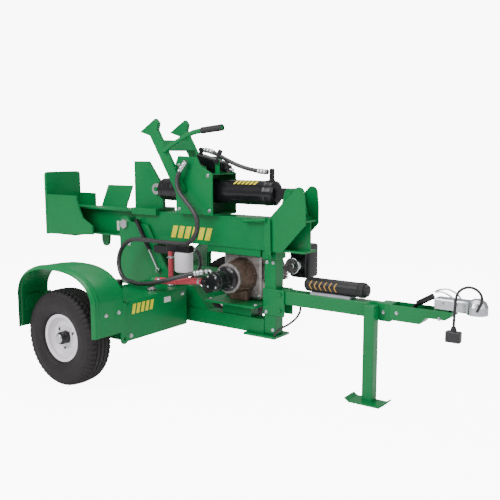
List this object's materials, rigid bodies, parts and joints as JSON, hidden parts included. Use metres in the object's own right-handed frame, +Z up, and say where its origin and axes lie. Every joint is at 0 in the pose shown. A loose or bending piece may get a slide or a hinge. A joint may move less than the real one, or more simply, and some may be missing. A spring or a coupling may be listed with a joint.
{
  "type": "towed log splitter",
  "caption": "Towed hydraulic log splitter on two wheels, with a beam that tips upright, a ram-driven wedge, an engine and pump on the frame, and a tongue with jack and coupler.",
  "frame": {"origin": "on the ground under the middle of the machine's bounding box", "axes": "+X forward along the tongue, +Y to the left wheel, +Z up"},
  "size_m": [2.598, 1.5156, 1.2776],
  "materials": {
    "green_paint": "glossy machinery enamel",
    "black_paint": "gloss black enamel",
    "white_paint": "semi-gloss",
    "tyre_rubber": "matt",
    "black_rubber": "satin",
    "red_rubber": "satin",
    "bright_steel": "ground and plated",
    "zinc_plate": "zinc plated",
    "cast_alloy": "as cast",
    "cast_housing": "dark cast",
    "black_plastic": "moulded"
  },
  "bodies": {
    "frame": {"hydraulic_tank": "green_paint", "axle_tube": "green_paint", "right_fender": "green_paint", "left_fender": "green_paint", "right_fender_bracket": "green_paint", "left_fender_bracket": "green_paint", "spine_rail": "green_paint", "latch_post": "green_paint", "right_tower_plate": "green_paint", "left_tower_plate": "green_paint", "tilt_pin": "bright_steel", "tongue": "green_paint", "tongue_channel": "green_paint", "coupler": "zinc_plate", "lift_handle": "black_paint", "document_tube": "black_plastic", "light_cable": "black_rubber", "light_plug": "black_rubber", "light_harness": "black_rubber", "engine_plate": "green_paint", "engine_block": "cast_alloy", "engine_cover": "black_plastic", "air_cleaner": "black_plastic", "bell_housing": "cast_housing", "hydraulic_pump": "black_paint", "filter_head": "black_paint", "oil_filter": "white_paint", "return_pipe": "red_rubber", "suction_hose": "red_rubber", "pressure_hose": "black_rubber", "return_hose": "black_rubber"},
    "right_wheel": {"right_tyre": "tyre_rubber", "right_rim": "white_paint", "right_hub": "black_paint"},
    "left_wheel": {"left_tyre": "tyre_rubber", "left_rim": "white_paint", "left_hub": "black_paint"},
    "tank_cap": {"tank_cap": "black_paint"},
    "coupler_bail": {"coupler_bail": "zinc_plate"},
    "jack": {"jack_leg": "green_paint"},
    "document_tube_cap": {"document_tube_cap": "black_plastic"},
    "drive_shaft": {"drive_shaft": "bright_steel"},
    "beam": {"splitting_beam": "green_paint", "foot_plate": "green_paint", "cylinder_anchor": "green_paint", "cylinder_barrel": "black_paint", "cylinder_gland": "black_paint", "valve_box": "green_paint", "control_valve": "black_paint", "base_hose": "black_rubber"},
    "ram": {"ram_rod": "bright_steel", "wedge": "green_paint"},
    "log_cradle": {"log_cradle": "green_paint"},
    "yoke": {"yoke": "green_paint", "handle_grip": "black_rubber"},
    "valve_lever": {"valve_lever": "black_paint"},
    "valve_spool": {"valve_spool": "bright_steel"},
    "strut_rod": {"strut_rod": "bright_steel"},
    "strut_tube": {"strut_tube": "black_paint"},
    "beam_latch": {"beam_latch": "green_paint"}
  },
  "joints": [
    {"name": "right_wheel_spin", "type": "hinge", "parent": "frame", "child": "right_wheel", "pos_m": [-0.479, -0.665, 0.2325], "axis": [0, 1, 0], "continuous": true},
    {"name": "left_wheel_spin", "type": "hinge", "parent": "frame", "child": "left_wheel", "pos_m": [-0.479, 0.665, 0.2325], "axis": [0, 1, 0], "continuous": true},
    {"name": "beam_tilt", "type": "hinge", "parent": "frame", "child": "beam", "pos_m": [-0.692, 0, 0.711], "axis": [0, -1, 0], "range_deg": [0, 90], "deforming": ["pressure_hose", "return_hose"]},
    {"name": "ram_slide", "type": "slide", "parent": "beam", "child": "ram", "axis": [-1, 0, 0], "range_m": [0, 0.59]},
    {"name": "yoke_swing", "type": "hinge", "parent": "beam", "child": "yoke", "pos_m": [-0.244, 0, 0.915], "axis": [0, -1, 0], "range_deg": [0, 25]},
    {"name": "cradle_fold", "type": "hinge", "parent": "beam", "child": "log_cradle", "pos_m": [-0.959, 0.089, 0.746], "axis": [-1, 0, 0], "range_deg": [0, 75]},
    {"name": "valve_lever_tilt", "type": "hinge", "parent": "beam", "child": "valve_lever", "pos_m": [-0.061, -0.048, 1.0585], "axis": [0, 1, 0], "range_deg": [-12, 12], "stiffness_Nm_per_rad": 3},
    {"name": "valve_spool_slide", "type": "slide", "parent": "beam", "child": "valve_spool", "axis": [0.9659, 0, -0.2588], "range_m": [-0.006, 0.006]},
    {"name": "strut_swing", "type": "hinge", "parent": "frame", "child": "strut_rod", "pos_m": [-0.4355, -0.085, 0.477], "axis": [0, -1, 0], "range_deg": [0, 9.5]},
    {"name": "strut_stroke", "type": "slide", "parent": "strut_rod", "child": "strut_tube", "axis": [-0.5078, 0, 0.8615], "range_m": [0, 0.142]},
    {"name": "beam_latch_tilt", "type": "hinge", "parent": "frame", "child": "beam_latch", "pos_m": [0.271, -0.0725, 0.61], "axis": [0, 1, 0], "range_deg": [0, 25]},
    {"name": "jack_swing", "type": "hinge", "parent": "frame", "child": "jack", "pos_m": [0.813, -0.0671, 0.41], "axis": [0, 1, 0], "range_deg": [0, 90]},
    {"name": "coupler_bail_swing", "type": "hinge", "parent": "frame", "child": "coupler_bail", "pos_m": [1.176, 0, 0.49], "axis": [0, 1, 0], "range_deg": [0, 100]},
    {"name": "document_tube_cap_pull", "type": "slide", "parent": "frame", "child": "document_tube_cap", "axis": [1, 0, 0], "range_m": [0, 0.05]},
    {"name": "tank_cap_turn", "type": "hinge", "parent": "frame", "child": "tank_cap", "pos_m": [-0.523, -0.3, 0.425], "axis": [0, 0, 1], "continuous": true},
    {"name": "drive_shaft_spin", "type": "hinge", "parent": "frame", "child": "drive_shaft", "pos_m": [0.051, 0, 0.485], "axis": [0, 1, 0], "continuous": true}
  ],
  "couplings": [
    {"joint": "strut_swing", "follows": "beam_tilt", "ratio": 0.1},
    {"joint": "strut_stroke", "follows": "beam_tilt", "m_per_rad": 0.0898},
    {"joint": "valve_spool_slide", "follows": "valve_lever_tilt", "m_per_rad": 0.028}
  ]
}
